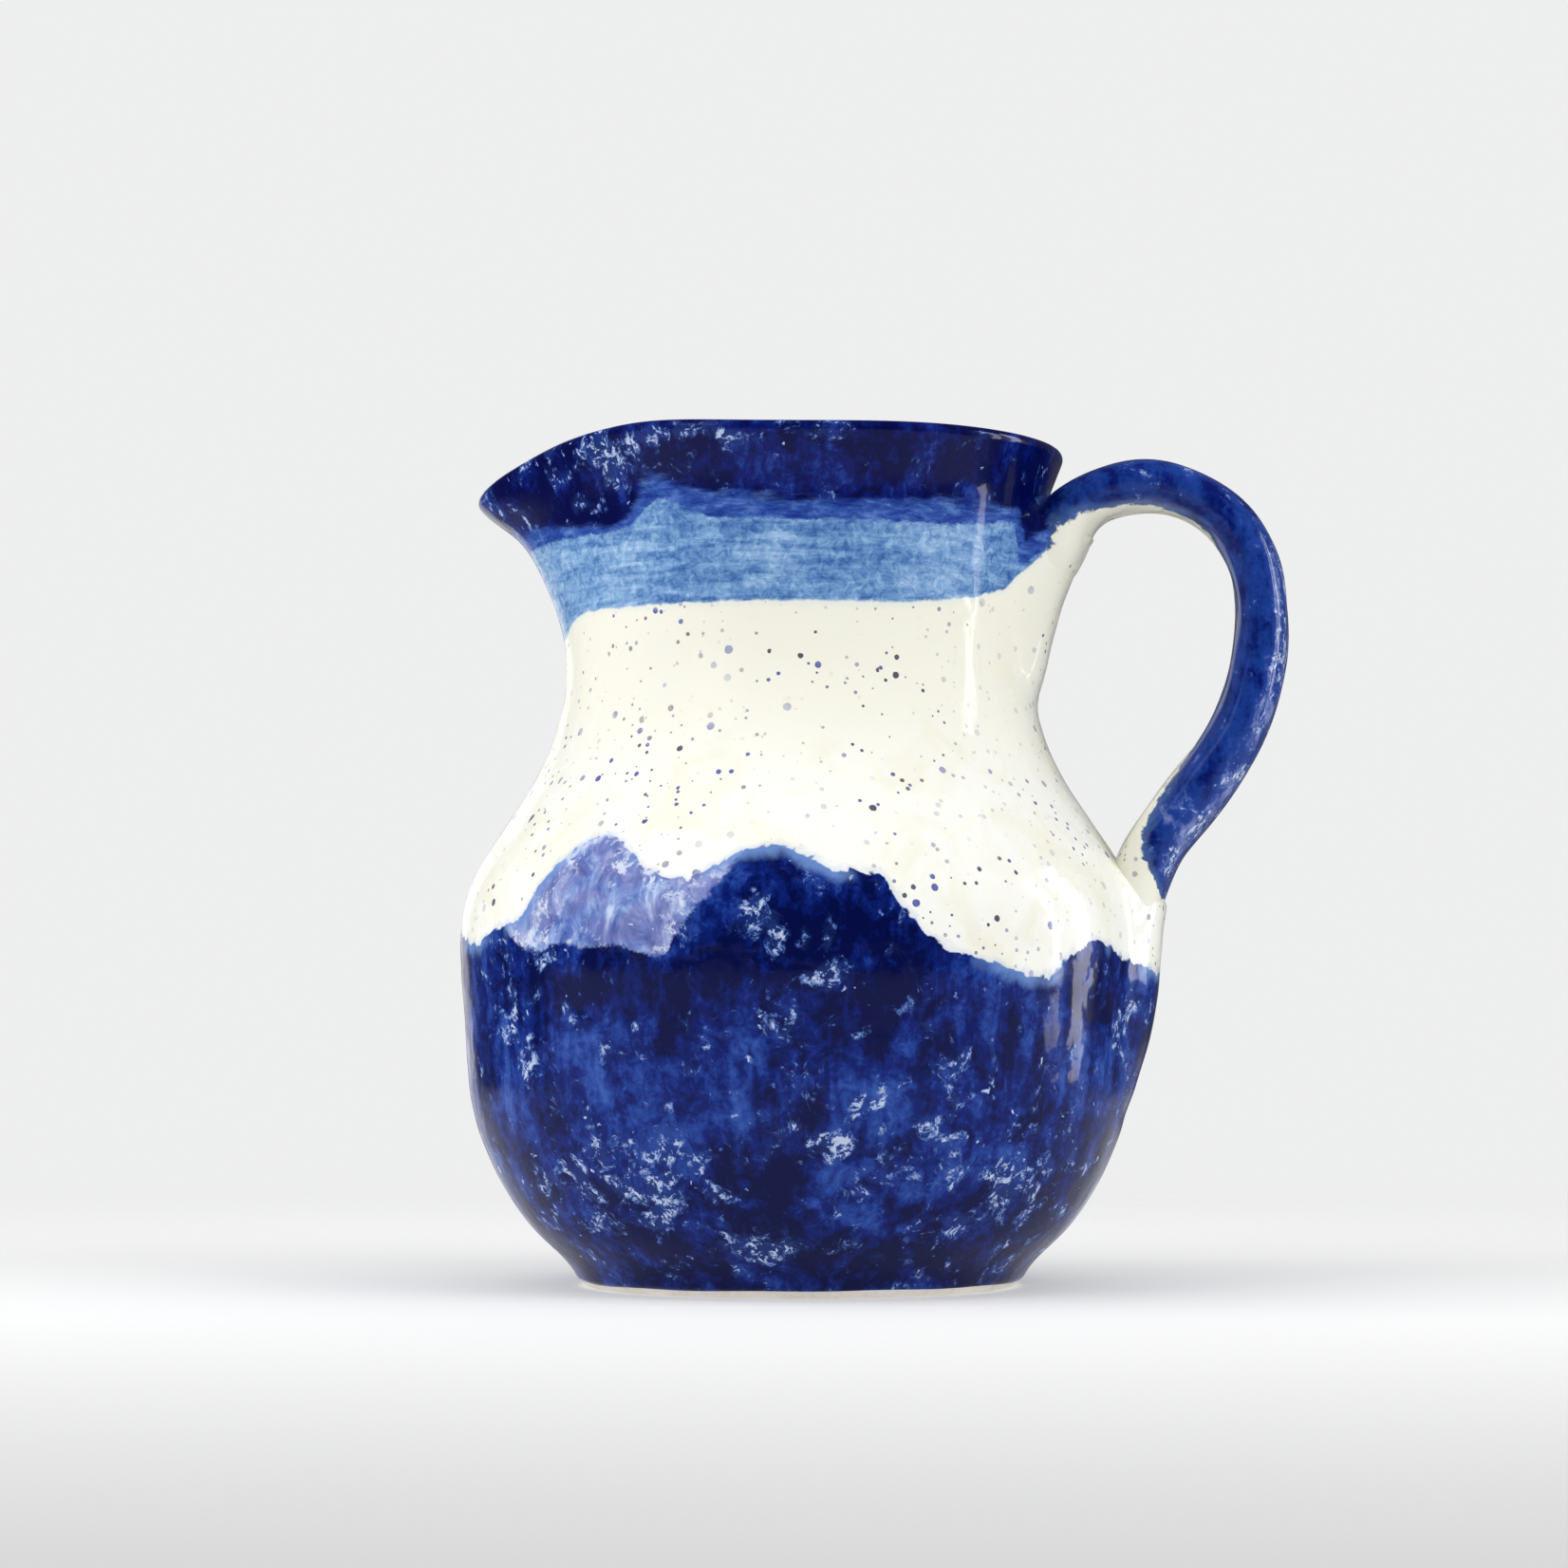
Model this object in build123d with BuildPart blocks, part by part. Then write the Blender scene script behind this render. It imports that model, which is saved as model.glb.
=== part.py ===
"""Hand-thrown stoneware pitcher with a pulled spout and a strap handle, and its fired glaze coats.

Frame: millimetres, +Z up, origin on the pot's axis in the plane of the foot ring.
The spout points along -X and the handle along +X.
"""

from math import cos, exp, pi, radians, sin
import os

from build123d import *

os.makedirs("parts", exist_ok=True)

# ---- driving dimensions ----------------------------------------------------------------------
RIM_HEIGHT = 183.5  # crest of the lip, away from the spout
FOOT_RADIUS = 48.0  # outside of the foot ring
BELLY_RADIUS = 75.0
NECK_RADIUS = 51.0
SPOUT_REACH = 73.0  # axis to the tip of the spout
SPOUT_DIP = 8.5  # how far the spout's tip lies under the rim
GLAZE = 0.6  # thickness of a fired coat, measured level
WALL = 5.4  # clay and both coats, measured level
FOOT_BARE = 1.6  # height of the unglazed band at the foot
FLOOR_TOP = 9.0  # inside of the floor over the standing plane

# The outside, from foot to above the rim: height, radius round the pot, radius along the spout.
OUTSIDE = [
    (0.0, FOOT_RADIUS, FOOT_RADIUS),
    (4.0, 50.3, 50.3),
    (11.0, 57.2, 57.2),
    (22.0, 65.2, 65.2),
    (38.0, 71.6, 71.6),
    (56.0, 73.6, 73.6),
    (74.0, BELLY_RADIUS, BELLY_RADIUS),
    (86.0, 73.4, 73.4),
    (98.0, 66.9, 66.9),
    (112.0, 57.9, 57.9),
    (124.0, 53.1, 53.1),
    (140.0, NECK_RADIUS, 52.0),
    (152.0, 51.9, 55.6),
    (160.0, 52.8, 59.6),
    (166.0, 53.5, 64.4),
    (170.0, 54.2, 69.2),
    (174.0, 55.3, 72.3),
    (179.0, 57.3, SPOUT_REACH),
    (187.0, 60.5, SPOUT_REACH),
]
# The cavity, from the floor to above the rim, in the same three columns.
INSIDE = [
    (FLOOR_TOP, 36.0, 36.0),
    (13.0, 49.5, 49.5),
    (23.0, 59.0, 59.0),
    (38.0, 65.9, 65.9),
    (56.0, 68.1, 68.1),
    (74.0, BELLY_RADIUS - WALL, BELLY_RADIUS - WALL),
    (86.0, 67.9, 67.9),
    (98.0, 61.1, 61.1),
    (112.0, 52.1, 52.1),
    (124.0, 47.5, 47.5),
    (140.0, NECK_RADIUS - WALL, 46.0),
    (152.0, 46.5, 49.0),
    (160.0, 47.4, 52.2),
    (166.0, 48.1, 55.4),
    (170.0, 48.8, 58.6),
    (174.0, 49.9, 63.2),
    (179.0, 51.9, SPOUT_REACH - WALL),
    (187.0, 55.1, SPOUT_REACH - WALL),
]
OUTLINE_POINTS = 36  # points on each closed section
SPOUT_SPREAD = 24.0  # degrees to each side over which the spout fades into the collar
PINCH_DEPTH = 1.4  # finger marks on both sides of the spout
PINCH_ANGLE = 54.0  # degrees from the spout
PINCH_SPREAD = 15.0
PINCH_LOW, PINCH_MID, PINCH_HIGH = 140.0, 168.0, 196.0  # heights where the marks begin, peak, end

FOOT_RECESS = 2.4
FOOT_RECESS_RADIUS = 41.0
LIP_ROUND = 2.3

STRAP_WIDTH = 29.0
STRAP_THICKNESS = 10.6
ROOT_START = (49.0, 158.3)  # inside the wall: distance from the axis, height
ROOT_RUN, ROOT_SLOPE = 13.2, 45.0
CROWN_RADIUS, CROWN_TURN = 25.2, 126.0
BACK_RADIUS, BACK_TURN = 54.3, 47.0
LEG_RUN = 15.8
TAIL_RADIUS, TAIL_TURN = 33.0, 38.0

# Fillet of clay under the upper root: its free edge seen from the side, down to the neck.
UPPER_WEB = [(68.0, 168.5), (62.2, 162.5), (58.6, 155.0), (56.2, 146.0), (54.4, 136.0), (52.0, 124.0)]
UPPER_WEB_TOP = (60.0, 168.0)  # within the strap
# Smeared tail of the lower root: its free edge, from the end of the strap down the belly.
TAIL_EDGE = [(79.0, 70.0), (77.7, 58.0), (74.5, 46.0), (68.5, 32.0)]
JOINT_WIDTH = 27.0
TONGUE_RADIUS = 10.0  # round end of the tail, seen along the handle
CORE = 40.0  # a radius well inside the clay wall

REACH = 120.0  # past everything, for cutting blocks

BAND_LOW, BAND_HIGH = 150.0, 168.0  # light wash round the collar, under the dark rim
RIM_INSIDE = 171.0  # the dark rim ends at this height inside
# Painted mountain line: distance along X and height.
RIDGE = [
    (-REACH, 76.0),
    (-70.0, 76.0),
    (-58.0, 86.0),
    (-44.0, 98.0),
    (-28.0, 89.0),
    (-8.0, 97.0),
    (18.0, 89.0),
    (30.0, 77.0),
    (54.0, 70.0),
    (66.0, 76.5),
    (76.0, 67.0),
    (REACH, 67.0),
]


def pinch_at(height):
    """Share of the finger marks' depth at a height."""
    if height <= PINCH_LOW:
        return 0.0
    half = PINCH_MID - PINCH_LOW if height < PINCH_MID else PINCH_HIGH - PINCH_MID
    return max(0.0, cos(pi / 2 * (height - PINCH_MID) / half))


def outline(station, inset):
    """Points of one level section: a circle, drawn out along -X where the spout is."""
    height, radius, spout = station
    points = []
    for step in range(OUTLINE_POINTS):
        turn = 360.0 * step / OUTLINE_POINTS
        from_spout = abs(turn - 180.0)
        reach = (spout - radius) * exp(-((from_spout / SPOUT_SPREAD) ** 2))
        mark = exp(-(((from_spout - PINCH_ANGLE) / PINCH_SPREAD) ** 2))
        r = radius + reach - PINCH_DEPTH * pinch_at(height) * mark - inset
        points.append((r * cos(radians(turn)), r * sin(radians(turn))))
    return points


def envelope(stations, inset):
    """Solid body through the level sections, each drawn in by the inset."""
    with BuildPart(mode=Mode.PRIVATE) as body:
        for station in stations:
            with BuildSketch(Plane.XY.offset(station[0])):
                with BuildLine():
                    Spline(*outline(station, inset), periodic=True)
                make_face()
        loft()
    return body.part


def above_rim(lowered):
    """Everything over the rim line, which is level and dips towards the spout."""
    crest = RIM_HEIGHT - lowered
    tip = crest - SPOUT_DIP
    with BuildPart(mode=Mode.PRIVATE) as block:
        with BuildSketch(Plane.XZ):
            with BuildLine():
                dip = Spline(
                    (-SPOUT_REACH - 4.0, tip - 1.6),
                    (-SPOUT_REACH + 2.0, tip + 0.8),
                    (-61.0, crest - 4.0),
                    (-51.0, crest - 1.2),
                    (-36.0, crest),
                    tangents=((1.0, 0.25), (1.0, 0.0)),
                )
                Polyline(
                    dip @ 1,
                    (REACH, crest),
                    (REACH, crest + 40.0),
                    (-REACH, crest + 40.0),
                    (-REACH, tip - 1.6),
                    dip @ 0,
                )
            make_face()
        extrude(amount=REACH, both=True)
    return block.part


def lip_edges(part, lowered):
    """The two closed edges that the rim cut leaves, outside and inside."""
    low = RIM_HEIGHT - lowered - SPOUT_DIP - 3.0
    return part.edges().filter_by(lambda edge: edge.bounding_box().min.Z > low)


def strap(outset):
    """The whole strap before it is cut to the pot, grown by the outset on every side."""
    with BuildPart(mode=Mode.PRIVATE) as bar:
        with BuildSketch(Plane(origin=spine @ 0, x_dir=(0, 1, 0), z_dir=spine % 0)):
            Ellipse(STRAP_WIDTH / 2 + outset, STRAP_THICKNESS / 2 + outset)
        sweep(path=spine)
    return bar.part


def palm_side():
    """A bar along the strap's inner face, where its coat is cream."""
    with BuildPart(mode=Mode.PRIVATE) as bar:
        with BuildSketch(Plane(origin=spine @ 0, x_dir=(0, 1, 0), z_dir=spine % 0)):
            with Locations((0, -STRAP_THICKNESS / 2)):
                Rectangle(STRAP_WIDTH + 4 * GLAZE, STRAP_THICKNESS / 2)
        sweep(path=spine)
    return bar.part


def level_slab(low, high):
    """Everything between two heights."""
    with BuildPart(mode=Mode.PRIVATE) as slab:
        with BuildSketch(Plane.XY.offset(low)):
            Rectangle(2 * REACH, 2 * REACH)
        extrude(amount=high - low)
    return slab.part


def under_ridge():
    """Everything under the painted mountain line, the same seen from both sides."""
    with BuildPart(mode=Mode.PRIVATE) as block:
        with BuildSketch(Plane.XZ):
            with BuildLine():
                ridge = Polyline(*RIDGE)
                Polyline(ridge @ 1, (RIDGE[-1][0], FOOT_BARE), (RIDGE[0][0], FOOT_BARE), ridge @ 0)
            make_face()
        extrude(amount=REACH, both=True)
    return block.part


def thrown_wall(outside, cavity, lowered):
    """A pot's wall and floor with its rim cut and its lip rounded."""
    with BuildPart(mode=Mode.PRIVATE) as wall:
        add(outside)
        add(cavity, mode=Mode.SUBTRACT)
        add(above_rim(lowered), mode=Mode.SUBTRACT)
        fillet(lip_edges(wall, lowered), LIP_ROUND - lowered)
    return wall.part


glazed_outside = envelope(OUTSIDE, 0.0)
clay_outside = envelope(OUTSIDE, GLAZE)
clay_cavity = envelope([(FLOOR_TOP - GLAZE, *INSIDE[0][1:])] + INSIDE[1:], -GLAZE)
glazed_cavity = envelope(INSIDE, 0.0)

clay_wall = thrown_wall(clay_outside, clay_cavity, GLAZE)
glazed_wall = thrown_wall(glazed_outside, glazed_cavity, 0.0)

# ---- thrown body: foot ring, floor, wall, collar and pulled spout in one piece of clay --------
with BuildPart() as body:
    add(clay_wall)
    with BuildSketch(Plane.XY):
        Circle(FOOT_RECESS_RADIUS)
    extrude(amount=FOOT_RECESS, mode=Mode.SUBTRACT)

# ---- pulled strap handle ----------------------------------------------------------------------
with BuildLine(Plane.XZ) as spine_line:
    root = PolarLine(ROOT_START, ROOT_RUN, ROOT_SLOPE)
    crown = JernArc(root @ 1, root % 1, CROWN_RADIUS, -CROWN_TURN)
    back = JernArc(crown @ 1, crown % 1, BACK_RADIUS, -BACK_TURN)
    leg = PolarLine(back @ 1, LEG_RUN, direction=back % 1)
    tail = JernArc(leg @ 1, leg % 1, TAIL_RADIUS, TAIL_TURN)
spine = spine_line.wire()

with BuildPart() as handle:
    add(strap(0.0))
    add(clay_outside, mode=Mode.SUBTRACT)

# ---- clay worked over the two joints ----------------------------------------------------------
with BuildPart() as upper_joint:
    with BuildSketch(Plane.XZ):
        with BuildLine():
            web = Spline(*UPPER_WEB)
            low_corner = (CORE, UPPER_WEB[-1][1])
            high_corner = (CORE, ROOT_START[1])
            Polyline(web @ 1, low_corner, high_corner, ROOT_START, UPPER_WEB_TOP, web @ 0)
        make_face()
    extrude(amount=JOINT_WIDTH / 2, both=True)
    add(clay_outside, mode=Mode.SUBTRACT)
    add(handle, mode=Mode.SUBTRACT)

strap_end = tail @ 1
strap_heading = tail % 1
square_out = Vector(-strap_heading.Z, 0, strap_heading.X)
strap_outside = strap_end + square_out * (STRAP_THICKNESS / 2)
with BuildPart() as lower_joint:
    with BuildSketch(Plane.XZ):
        with BuildLine():
            edge = Spline((strap_outside.X, strap_outside.Z), *TAIL_EDGE)
            inner_end = strap_end - square_out * (strap_end.X - CORE)
            Polyline(edge @ 1, (CORE, TAIL_EDGE[-1][1]), (inner_end.X, inner_end.Z), edge @ 0)
        make_face()
    extrude(amount=JOINT_WIDTH / 2, both=True)
    with BuildSketch(Plane.YZ.offset(CORE)):
        with Locations((0, TAIL_EDGE[-1][1] + TONGUE_RADIUS)):
            Circle(TONGUE_RADIUS)
        with BuildLine():
            low = TAIL_EDGE[-1][1] + TONGUE_RADIUS
            Polyline(
                (-TONGUE_RADIUS, low),
                (-JOINT_WIDTH / 2, TAIL_EDGE[0][1]),
                (-JOINT_WIDTH / 2, REACH),
                (JOINT_WIDTH / 2, REACH),
                (JOINT_WIDTH / 2, TAIL_EDGE[0][1]),
                (TONGUE_RADIUS, low),
                close=True,
            )
        make_face()
    extrude(amount=REACH, mode=Mode.INTERSECT)
    add(clay_outside, mode=Mode.SUBTRACT)

# ---- fired glaze coats ------------------------------------------------------------------------
# One shell follows the clay inside, over the lip and outside; each colour is a zone of it.
mountains = under_ridge()

with BuildPart() as liner_glaze:
    add(clay_cavity)
    add(glazed_cavity, mode=Mode.SUBTRACT)
    add(level_slab(0.0, RIM_INSIDE), mode=Mode.INTERSECT)

with BuildPart() as outer_shell:
    add(glazed_wall)
    add(clay_wall, mode=Mode.SUBTRACT)
    add(liner_glaze, mode=Mode.SUBTRACT)
    add(handle, mode=Mode.SUBTRACT)
    add(upper_joint, mode=Mode.SUBTRACT)
    add(lower_joint, mode=Mode.SUBTRACT)
    add(level_slab(-FOOT_BARE, FOOT_BARE), mode=Mode.SUBTRACT)

with BuildPart() as rim_glaze:
    add(outer_shell)
    add(level_slab(BAND_HIGH, RIM_HEIGHT + REACH), mode=Mode.INTERSECT)

with BuildPart() as collar_wash:
    add(outer_shell)
    add(level_slab(BAND_LOW, BAND_HIGH), mode=Mode.INTERSECT)

with BuildPart() as mountain_glaze:
    add(outer_shell)
    add(mountains, mode=Mode.INTERSECT)

with BuildPart() as cream_glaze:
    add(outer_shell)
    add(level_slab(0.0, BAND_LOW), mode=Mode.INTERSECT)
    add(mountains, mode=Mode.SUBTRACT)

with BuildPart() as handle_shell:
    add(strap(GLAZE))
    add(strap(0.0), mode=Mode.SUBTRACT)
    add(glazed_outside, mode=Mode.SUBTRACT)
    add(upper_joint, mode=Mode.SUBTRACT)

with BuildPart() as handle_blue_glaze:
    add(handle_shell)
    add(palm_side(), mode=Mode.SUBTRACT)

with BuildPart() as handle_cream_glaze:
    add(handle_shell)
    add(palm_side(), mode=Mode.INTERSECT)

pieces = {
    "body": body,
    "handle": handle,
    "upper_joint": upper_joint,
    "lower_joint": lower_joint,
    "liner_glaze": liner_glaze,
    "cream_glaze": cream_glaze,
    "mountain_glaze": mountain_glaze,
    "collar_wash": collar_wash,
    "rim_glaze": rim_glaze,
    "handle_blue_glaze": handle_blue_glaze,
    "handle_cream_glaze": handle_cream_glaze,
}
for name, piece in pieces.items():
    piece.part.label = name
    export_step(piece.part, f"parts/{name}.step")
    print(name, round(piece.part.volume), "mm3, valid:", piece.part.is_valid)
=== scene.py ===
"""Looks of the hand-thrown pitcher: clay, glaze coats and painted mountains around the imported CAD.

Shapes are worked out in millimetres and written in metres. The handle is on +X, the spout on -X.
"""

import math

import bpy
import numpy as np
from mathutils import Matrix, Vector


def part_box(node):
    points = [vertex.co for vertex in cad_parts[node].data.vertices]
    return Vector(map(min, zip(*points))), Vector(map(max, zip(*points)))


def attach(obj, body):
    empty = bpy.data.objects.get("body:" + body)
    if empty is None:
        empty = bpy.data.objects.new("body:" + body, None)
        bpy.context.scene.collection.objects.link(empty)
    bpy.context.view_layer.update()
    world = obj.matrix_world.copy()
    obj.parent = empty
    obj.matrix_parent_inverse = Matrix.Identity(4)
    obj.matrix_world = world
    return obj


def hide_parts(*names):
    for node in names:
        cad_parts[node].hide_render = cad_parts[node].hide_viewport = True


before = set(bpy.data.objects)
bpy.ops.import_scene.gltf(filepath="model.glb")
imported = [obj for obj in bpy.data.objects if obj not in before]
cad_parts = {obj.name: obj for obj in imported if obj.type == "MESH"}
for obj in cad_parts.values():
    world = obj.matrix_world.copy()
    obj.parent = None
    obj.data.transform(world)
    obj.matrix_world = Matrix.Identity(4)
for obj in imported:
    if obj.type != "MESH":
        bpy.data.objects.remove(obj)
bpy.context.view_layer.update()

MM = 0.001

# ---- sizes read from the CAD ------------------------------------------------------------------
RIM_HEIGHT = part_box("rim_glaze")[1].z / MM
SPOUT_REACH = -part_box("rim_glaze")[0].x / MM
BELLY_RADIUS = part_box("mountain_glaze")[1].y / MM
RECESS_RADIUS, RECESS_DEPTH = 41.0, 2.4

# Outside: height, radius round the pot, radius along the spout.
OUTSIDE = [
    (0.0, 48.0, 48.0), (4.0, 50.3, 50.3), (11.0, 57.2, 57.2), (22.0, 65.2, 65.2),
    (38.0, 71.6, 71.6), (56.0, 73.6, 73.6), (74.0, BELLY_RADIUS, BELLY_RADIUS),
    (86.0, 73.4, 73.4), (98.0, 66.9, 66.9), (112.0, 57.9, 57.9), (124.0, 53.1, 53.1),
    (140.0, 51.0, 52.0), (152.0, 51.9, 55.6), (160.0, 52.8, 59.6), (166.0, 53.5, 64.4),
    (170.0, 54.2, 69.8), (174.0, 55.3, 73.2), (179.0, 57.3, SPOUT_REACH + 1.2),
    (187.0, 60.5, SPOUT_REACH + 1.2),
]
# Inside, from above the rim down the wall: height, radius, radius along the spout.
INSIDE = [
    (23.0, 59.0, 59.0), (38.0, 65.9, 65.9), (56.0, 68.1, 68.1), (74.0, 69.6, 69.6),
    (86.0, 67.9, 67.9), (98.0, 61.1, 61.1), (112.0, 52.1, 52.1), (124.0, 47.5, 47.5),
    (140.0, 45.6, 46.0), (152.0, 46.5, 49.0), (160.0, 47.4, 52.2), (166.0, 48.1, 55.4),
    (170.0, 48.8, 58.6), (174.0, 49.9, 63.2), (179.0, 51.9, 67.6), (187.0, 55.1, 67.6),
]
# The floor of the cavity out to its first wall section: radius and height.
FLOOR = [(0.0, 8.8), (12.0, 8.8), (24.0, 8.9), (35.0, 9.5), (43.5, 11.2), (50.0, 14.0), (59.0, 23.0)]
SPOUT_SPREAD, DIP, DIP_SPREAD = 24.0, 8.5, 25.0
PINCH_DEPTH, PINCH_ANGLE, PINCH_SPREAD = 1.4, 54.0, 15.0
PINCH_LOW, PINCH_MID, PINCH_HIGH = 140.0, 168.0, 196.0
LIP = 2.5
COAT = 0.5
RIM_INSIDE = 171.0

# Free edges of the clay worked over the joints: height and distance from the axis.
WEB_EDGE = [(118.0, 52.0), (124.0, 53.0), (130.0, 53.6), (136.0, 54.8), (146.0, 57.2),
            (155.0, 60.3), (162.5, 64.2), (168.5, 69.0)]
TAIL_EDGE = [(24.0, 64.0), (32.0, 69.0), (46.0, 74.6), (58.0, 77.9), (70.0, 79.4), (79.0, 80.3),
             (90.0, 82.5)]

# ---- painted lines: degrees round the pot from the side that faces the camera, and height -----
HANDLE_AT = 82.0  # the handle, in those degrees
RIDGE = [
    (-90, 79), (-84, 77.5), (-77, 76), (-71, 74.3), (-66, 74), (-60, 77), (-54, 78.7), (-50, 80.5),
    (-47, 87.4), (-43.5, 93.3), (-39, 95.8), (-35, 96.5), (-31, 93.5), (-26, 89.4), (-22, 87.4),
    (-17, 87.3), (-14, 90), (-11, 92), (-7, 93), (-4, 93.6), (0, 92), (3, 90.5), (6.4, 88),
    (9.5, 88.6), (14, 86.7), (16, 82.8), (18, 78), (21.5, 74), (25.6, 71.7), (31, 70), (38.5, 67),
    (44, 66.6), (47, 69.6), (52, 73.6), (56, 74.7), (61.5, 73.2), (71, 69.4), (82, 68), (90, 70),
    (98, 77), (105, 82.5), (111, 80), (118, 75), (127, 71), (136, 76), (143, 85), (149, 92),
    (155, 94.5), (161, 91), (168, 84), (177, 79), (186, 82), (194, 90), (200, 93.5), (207, 89.5),
    (214, 82), (222, 76), (231, 74.5), (240, 80), (248, 84), (256, 81.5), (263, 80),
]
# Upper edge of the darker glaze; where it lies under the ridge a paler far mountain shows.
NEAR_LINE = [
    (-98, 90), (-60, 84), (-56, 78), (-53, 74.5), (-50, 73), (-46, 72), (-43, 74), (-36, 73),
    (-30, 73), (-26, 72), (-22, 70.5), (-20, 73), (-18.5, 79), (-15, 82.5), (-13, 86), (-10, 91),
    (-6, 100), (140, 100), (144, 82), (149, 77), (156, 75.5), (165, 77), (170, 80), (174, 100),
    (254, 100),
]
WASH_LOW = [
    (-98, 141), (-84, 141.5), (-78, 142.5), (-70, 145), (-63, 146), (-20, 145.6), (25, 145.5),
    (45, 147.6), (58, 150.4), (60, 151.6), (61, 153), (62, 154), (63.5, 154.8), (66, 156.8),
    (68, 160), (70.5, 163.6), (72, 166), (76, 168.6), (82, 169), (88, 168.6), (92, 166), (93.5, 163.6),
    (96, 160), (98, 157), (100.5, 155.2), (102, 154.2), (103, 153.4), (104, 152.4), (107, 150.5),
    (114, 148.2), (135, 146), (180, 145), (225, 146), (250, 142.5),
]
DARK_LOW = [
    (-98, 161.5), (-70, 162.3), (-50, 162.2), (-45, 162.8), (-41, 164.6), (-37, 167.4), (-34, 168.4),
    (-30, 166.8), (-26, 164.8), (-20, 163.2), (0, 162.6), (36, 162.6), (50, 163.8), (58, 165.2),
    (60, 163.5), (61, 157.5), (62, 155.8), (63.5, 156.2), (66, 158.2), (68, 161.4), (70.5, 165.2),
    (72, 167.6), (76, 170.2), (82, 171), (88, 170.2), (92, 167.6), (93.5, 165.2), (96, 161.4),
    (98, 158.6), (100.5, 156.8), (102, 156), (103, 157.5), (104, 162.5), (107, 164.8), (130, 163),
    (170, 162), (220, 163.2), (250, 162),
]
# Patches of white flecks: degrees, height, spread in degrees, spread in height, strength.
FLECK_PATCHES = [
    (-22, 31, 5, 6, 1.0), (-10, 11, 6, 4, 0.8), (-37, 30, 6, 8, 0.7), (10, 34, 6, 8, 0.7),
    (43, 26, 9, 8, 0.7), (-20, 77, 4, 4, 0.9), (-6, 80, 4, 6, 0.8), (-27, 20, 7, 5, 0.8),
    (-55, 60, 6, 10, 0.6), (68, 56, 6, 9, 0.7), (-36, 55, 5, 8, 0.45), (-3, 57, 5, 6, 0.5),
    (22, 36, 5, 6, 0.4), (5, 66, 5, 8, 0.4), (-48, 74, 8, 5, 0.5), (30, 14, 12, 5, 0.45),
    (-50, 22, 9, 8, 0.5), (120, 34, 10, 10, 0.8), (148, 22, 9, 8, 0.7), (172, 38, 8, 9, 0.8),
    (196, 24, 10, 9, 0.9), (222, 36, 9, 8, 0.7), (246, 28, 9, 8, 0.7), (100, 24, 9, 8, 0.6),
    (198, 78, 5, 6, 0.7), (152, 82, 6, 5, 0.6),
    (-50, 179, 16, 4, 1.0), (-28, 181, 14, 2.5, 1.0), (-60, 170, 10, 7, 0.5), (-92, 168, 14, 6, 0.5),
    (5, 181, 12, 2.5, 0.5), (214, 179, 18, 4, 0.9), (170, 180, 20, 3, 0.5), (120, 180, 14, 3, 0.5),
]
# Darker and lighter clouds in the blue: the same five columns, strength below zero is darker.
TONE_PATCHES = [
    (3, 76, 11, 11, -0.9), (-20, 64, 8, 7, -0.75), (12, 60, 9, 8, -0.5), (-34, 46, 7, 9, 0.5),
    (14, 43, 9, 9, 0.1), (-57, 48, 7, 14, 0.45), (34, 57, 6, 8, 0.1), (24, 66, 6, 6, 0.25),
    (60, 62, 7, 9, -0.3), (48, 46, 7, 9, 0.35), (8, 8, 34, 6, -0.6), (-42, 18, 24, 14, -0.45),
    (60, 16, 26, 14, -0.45), (-6, 22, 9, 9, -0.5), (30, 30, 9, 7, 0.3), (52, 72, 4, 3, 0.4),
    (-52, 66, 6, 5, -0.4), (-36, 64, 6, 4, -0.6), (70, 38, 8, 10, -0.2), (-12, 44, 5, 9, 0.2),
    (-3, 90, 5, 3, -0.3), (9, 84, 4, 3, 0.3), (105, 68, 9, 9, -0.6), (124, 50, 8, 9, 0.5),
    (148, 62, 9, 8, -0.5), (166, 54, 7, 9, 0.5), (184, 66, 8, 8, -0.6), (202, 78, 8, 8, -0.5),
    (206, 48, 8, 8, 0.5), (226, 58, 9, 9, -0.4), (242, 66, 8, 8, 0.4), (250, 44, 8, 9, -0.3),
    (135, 14, 30, 6, -0.4), (215, 12, 30, 6, -0.3), (-62, 168, 9, 4, -0.8), (-50, 166, 7, 3.5, -0.9),
    (58, 172, 9, 7, -0.7), (-20, 166, 12, 3, 0.3),
]

# ---- strap handle: distance along it, then half width and half thickness with the coat --------
ROOT_START = (49.0, 158.3)
ROOT_HEADING = 45.0
TURNS = [  # length of a straight run, or radius and turn of an arc
    (13.2, None), (25.4, -126.0), (55.0, -47.0), (15.8, None), (33.0, 38.0), (34.0, -27.0),
]
STRAP_SIZE = [
    (0, 15.1, 5.6), (14, 15.0, 5.5), (40, 14.4, 5.4), (75, 14.0, 5.9), (100, 13.8, 6.3),
    (125, 13.8, 6.7), (140, 13.9, 6.4), (151, 13.8, 5.8), (170, 12.6, 5.2),
]
# Where the blue ends on the side of the strap: distance along it, degrees past mid side.
NEAR_BORDER = [
    (0, 30), (8, 18), (12, 12), (16, 20), (20, 38), (24, 54), (28, 58), (36, 66), (46, 74), (60, 82),
    (104, 80), (112, 66), (120, 52), (128, 40), (134, 20), (139, -12), (143, -48), (147, -86),
]
FAR_BORDER = [
    (0, 26), (8, 16), (12, 12), (16, 18), (20, 32), (28, 46), (40, 56), (62, 66), (104, 66), (120, 52),
    (128, 36), (134, 12), (139, -20), (143, -52), (147, -86),
]
TIP_AT = 147.0
ROOT_FLARE = 0.85  # how much thicker the strap's underside is where it meets the collar

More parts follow.
